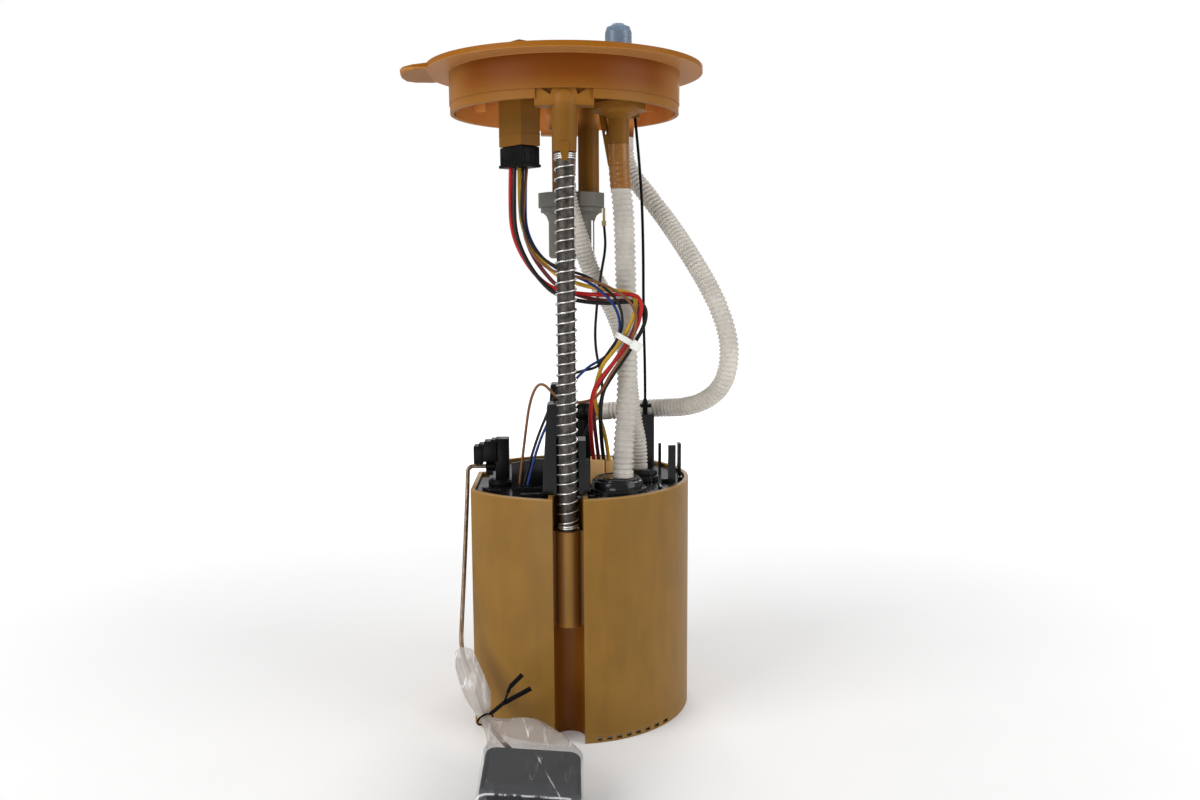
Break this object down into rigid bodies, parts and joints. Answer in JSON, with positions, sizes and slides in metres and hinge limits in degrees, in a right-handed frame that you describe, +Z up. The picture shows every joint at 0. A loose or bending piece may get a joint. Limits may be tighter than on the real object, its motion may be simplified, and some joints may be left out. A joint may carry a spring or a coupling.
{
  "type": "fuel pump module",
  "caption": "Spring-loaded in-tank fuel pump module: round flange cover on two sprung guide rods above a round reservoir, with corrugated hoses, wire loom and a float arm level sender",
  "frame": {"origin": "on the reservoir's base plane, below the midpoint between the two guide rods", "axes": "+Z up along the guide rods, +X to the side away from the level sender, -Y toward the front guide rod and the float"},
  "size_m": [0.161, 0.2146, 0.33],
  "materials": {
    "tan_plastic": "moulded acetal, satin",
    "amber_plastic": "moulded acetal, warm amber, satin",
    "gloss_black": "glossy black moulding",
    "black_plastic": "black moulding, slight sheen",
    "grey_plastic": "mid grey moulding",
    "cap_blue": "translucent light blue",
    "hose_clear": "translucent off-white corrugated tube",
    "rod_steel": "dull grey steel tube",
    "spring_steel": "drawn spring wire",
    "terminal_metal": "plated terminal",
    "arm_steel": "brownish drawn wire",
    "magnet_dark": "sintered magnet",
    "copper_windings": "varnished copper winding",
    "filter_cloth": "pleated filter cloth",
    "seal_rubber": "fuel proof rubber",
    "board_ceramic": "ceramic card",
    "float_grey": "closed cell nitrile foam, dark grey",
    "bag_film": "thin clear film, creased",
    "tie_white": "natural nylon",
    "wire_black_skin": "black insulation",
    "wire_red_skin": "red insulation",
    "wire_yellow_skin": "yellow insulation",
    "wire_maroon_skin": "maroon insulation",
    "wire_brown_skin": "brown insulation",
    "wire_blue_skin": "blue insulation"
  },
  "bodies": {
    "reservoir": {"front_spring": "spring_steel", "rear_spring": "spring_steel", "reservoir_cup": "tan_plastic", "reservoir_lid": "gloss_black", "front_hose_cap": "gloss_black", "side_hose_cap": "gloss_black", "outlet_elbow": "black_plastic", "pump_plug": "tan_plastic", "tether_plug": "black_plastic", "tether_cord": "black_plastic", "pump_case": "rod_steel", "pump_top_cap": "black_plastic", "pump_inlet_base": "black_plastic", "magnet_ring": "magnet_dark", "pump_bearings": "spring_steel", "pump_isolator": "seal_rubber", "filter_element": "filter_cloth", "strainer": "tan_plastic", "jet_pump": "black_plastic", "sender_housing": "black_plastic", "sender_board": "board_ceramic", "zip_tie": "tie_white", "ground_wire": "wire_black_skin", "wire_red": "wire_red_skin", "wire_black": "wire_black_skin", "wire_yellow": "wire_yellow_skin", "wire_maroon": "wire_maroon_skin", "wire_signal": "wire_black_skin", "wire_brown": "wire_brown_skin", "wire_blue": "wire_blue_skin", "front_hose": "hose_clear", "middle_hose": "hose_clear", "side_hose": "hose_clear"},
    "flange": {"flange_cover": "amber_plastic", "terminal_pins": "terminal_metal", "loom_plug": "black_plastic", "front_guide_rod": "rod_steel", "rear_guide_rod": "rod_steel", "regulator_housing": "grey_plastic", "regulator_seal": "seal_rubber", "ground_terminal": "terminal_metal", "regulator_spring": "spring_steel"},
    "transport_cap": {"outlet_cap": "cap_blue"},
    "regulator_poppet": {"regulator_valve": "terminal_metal"},
    "rotor": {"armature": "copper_windings", "pump_shaft": "rod_steel", "impeller": "grey_plastic"},
    "sender_arm": {"arm_holder": "black_plastic", "float_arm": "arm_steel", "float": "float_grey", "float_bag": "bag_film", "bag_tie": "black_plastic"},
    "foot_valve": {"inlet_check_valve": "seal_rubber"}
  },
  "joints": [
    {"name": "flange_slide", "type": "slide", "parent": "reservoir", "child": "flange", "axis": [0, 0, -1], "range_m": [0, 0.045], "stiffness_N_per_m": 300, "springref_m": -0.03, "deforming": ["front_spring", "rear_spring", "front_hose", "middle_hose", "side_hose", "wire_red", "wire_black", "wire_yellow", "wire_maroon", "wire_signal", "wire_brown", "wire_blue", "ground_wire", "tether_cord", "zip_tie"]},
    {"name": "float_swing", "type": "hinge", "parent": "reservoir", "child": "sender_arm", "pos_m": [-0.0385, -0.01, 0.1223], "axis": [-1, 0, 0], "range_deg": [0, 75]},
    {"name": "cap_pull", "type": "slide", "parent": "flange", "child": "transport_cap", "axis": [0, 0, 1], "range_m": [0, 0.02]},
    {"name": "pump_spin", "type": "hinge", "parent": "reservoir", "child": "rotor", "pos_m": [0.008, 0, 0.055], "axis": [0, 0, 1], "continuous": true},
    {"name": "regulator_lift", "type": "slide", "parent": "flange", "child": "regulator_poppet", "axis": [0, 0, 1], "range_m": [0, 0.0015], "stiffness_N_per_m": 2000, "springref_m": -0.002, "deforming": ["regulator_spring"]},
    {"name": "foot_valve_lift", "type": "slide", "parent": "reservoir", "child": "foot_valve", "axis": [0, 0, 1], "range_m": [0, 0.002]}
  ]
}
